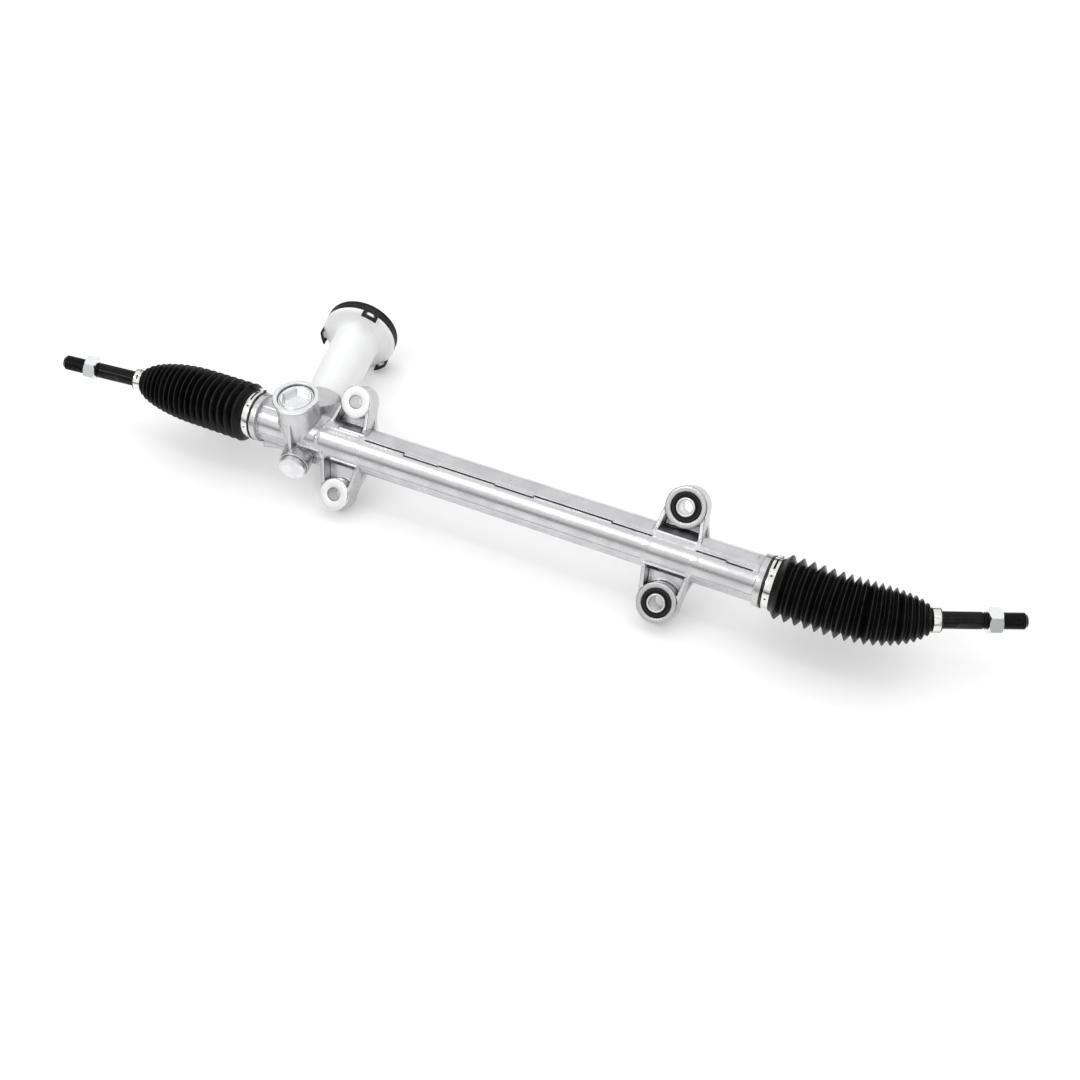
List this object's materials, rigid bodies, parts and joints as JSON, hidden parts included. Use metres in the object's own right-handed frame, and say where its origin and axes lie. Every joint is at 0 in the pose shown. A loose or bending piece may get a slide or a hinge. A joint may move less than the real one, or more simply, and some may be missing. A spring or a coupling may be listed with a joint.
{
  "type": "steering rack",
  "caption": "Manual rack-and-pinion steering gear with cast housing, bolt lugs, bellows, tie rods with lock nuts and a steering-shaft dust cover.",
  "frame": {"origin": "on the rack axis, midway between the two pairs of mounting lugs", "axes": "+X along the rack towards the end without the pinion, +Z along the yoke axis, up, +Y towards the steering shaft; the gear lies as on a bench"},
  "size_m": [1.035, 0.2465, 0.1191],
  "materials": {
    "cast_aluminium": "satin die-cast surface with machined lug faces",
    "turned_aluminium": "turned",
    "black_rubber": "matt",
    "bellows_rubber": "semi-matt",
    "bright_steel": "turned and bright plated",
    "ground_steel": "ground",
    "bearing_steel": "polished",
    "spring_steel": "oiled",
    "zinc_plate": "blue-white zinc plate",
    "clamp_steel": "bright band",
    "black_steel": "black phosphate",
    "white_plastic": "translucent natural",
    "acetal": "natural"
  },
  "bodies": {
    "housing": {"bearing_nut": "zinc_plate", "bearing_outer_race": "bearing_steel", "bottom_cap": "turned_aluminium", "dust_cover": "white_plastic", "dust_cover_seal": "black_rubber", "left_bellows": "bellows_rubber", "left_big_clamp": "clamp_steel", "lower_bush_rubber": "black_rubber", "lower_bush_sleeve": "bright_steel", "needle_bearing": "bearing_steel", "pinion_seal": "black_rubber", "rack_bush": "acetal", "rack_housing": "cast_aluminium", "right_bellows": "bellows_rubber", "right_big_clamp": "clamp_steel", "upper_bush_rubber": "black_rubber", "upper_bush_sleeve": "bright_steel", "yoke": "turned_aluminium", "yoke_liner": "acetal", "yoke_plug": "zinc_plate", "yoke_ring": "black_rubber", "yoke_spring": "spring_steel"},
    "rack": {"rack_bar": "ground_steel", "left_ball_socket": "black_steel", "right_ball_socket": "black_steel", "left_lock_washer": "spring_steel", "right_lock_washer": "spring_steel"},
    "pinion": {"pinion_shaft": "ground_steel", "bearing_inner_race": "bearing_steel"},
    "ball_cage": {"bearing_balls": "bearing_steel", "bearing_cage": "bearing_steel"},
    "left_seat": {"left_ball_seat": "acetal"},
    "right_seat": {"right_ball_seat": "acetal"},
    "left_rod": {"left_tie_rod": "black_steel", "left_lock_nut": "zinc_plate", "left_small_clamp": "clamp_steel"},
    "right_rod": {"right_tie_rod": "black_steel", "right_lock_nut": "zinc_plate", "right_small_clamp": "clamp_steel"}
  },
  "joints": [
    {"name": "rack_slide", "type": "slide", "parent": "housing", "child": "rack", "axis": [1, 0, 0], "range_m": [-0.072, 0.072], "deforming": ["left_bellows", "right_bellows"]},
    {"name": "pinion_turn", "type": "hinge", "parent": "housing", "child": "pinion", "pos_m": [-0.2393, 0, -0.0172], "axis": [-0.1822, 0.9833, 0], "range_deg": [-508, 508]},
    {"name": "cage_turn", "type": "hinge", "parent": "housing", "child": "ball_cage", "pos_m": [-0.24486, 0.02999, -0.0172], "axis": [-0.1822, 0.9833, 0], "range_deg": [-200, 200]},
    {"name": "left_rod_yaw", "type": "hinge", "parent": "rack", "child": "left_seat", "pos_m": [-0.396, 0, 0], "axis": [0, 0, 1], "range_deg": [-37, 12]},
    {"name": "left_rod_pitch", "type": "hinge", "parent": "left_seat", "child": "left_rod", "pos_m": [-0.396, 0, 0], "axis": [-0.2164, 0.9763, 0], "range_deg": [-26.5, 9.5]},
    {"name": "right_rod_yaw", "type": "hinge", "parent": "rack", "child": "right_seat", "pos_m": [0.386, 0, 0], "axis": [0, 0, 1], "range_deg": [-47.5, 1.5]},
    {"name": "right_rod_pitch", "type": "hinge", "parent": "right_seat", "child": "right_rod", "pos_m": [0.386, 0, 0], "axis": [0.3907, -0.9205, 0], "range_deg": [-17.5, 18.5]}
  ],
  "couplings": [
    {"joint": "pinion_turn", "follows": "rack_slide", "rad_per_m": 122.91},
    {"joint": "cage_turn", "follows": "rack_slide", "rad_per_m": 47.823}
  ]
}
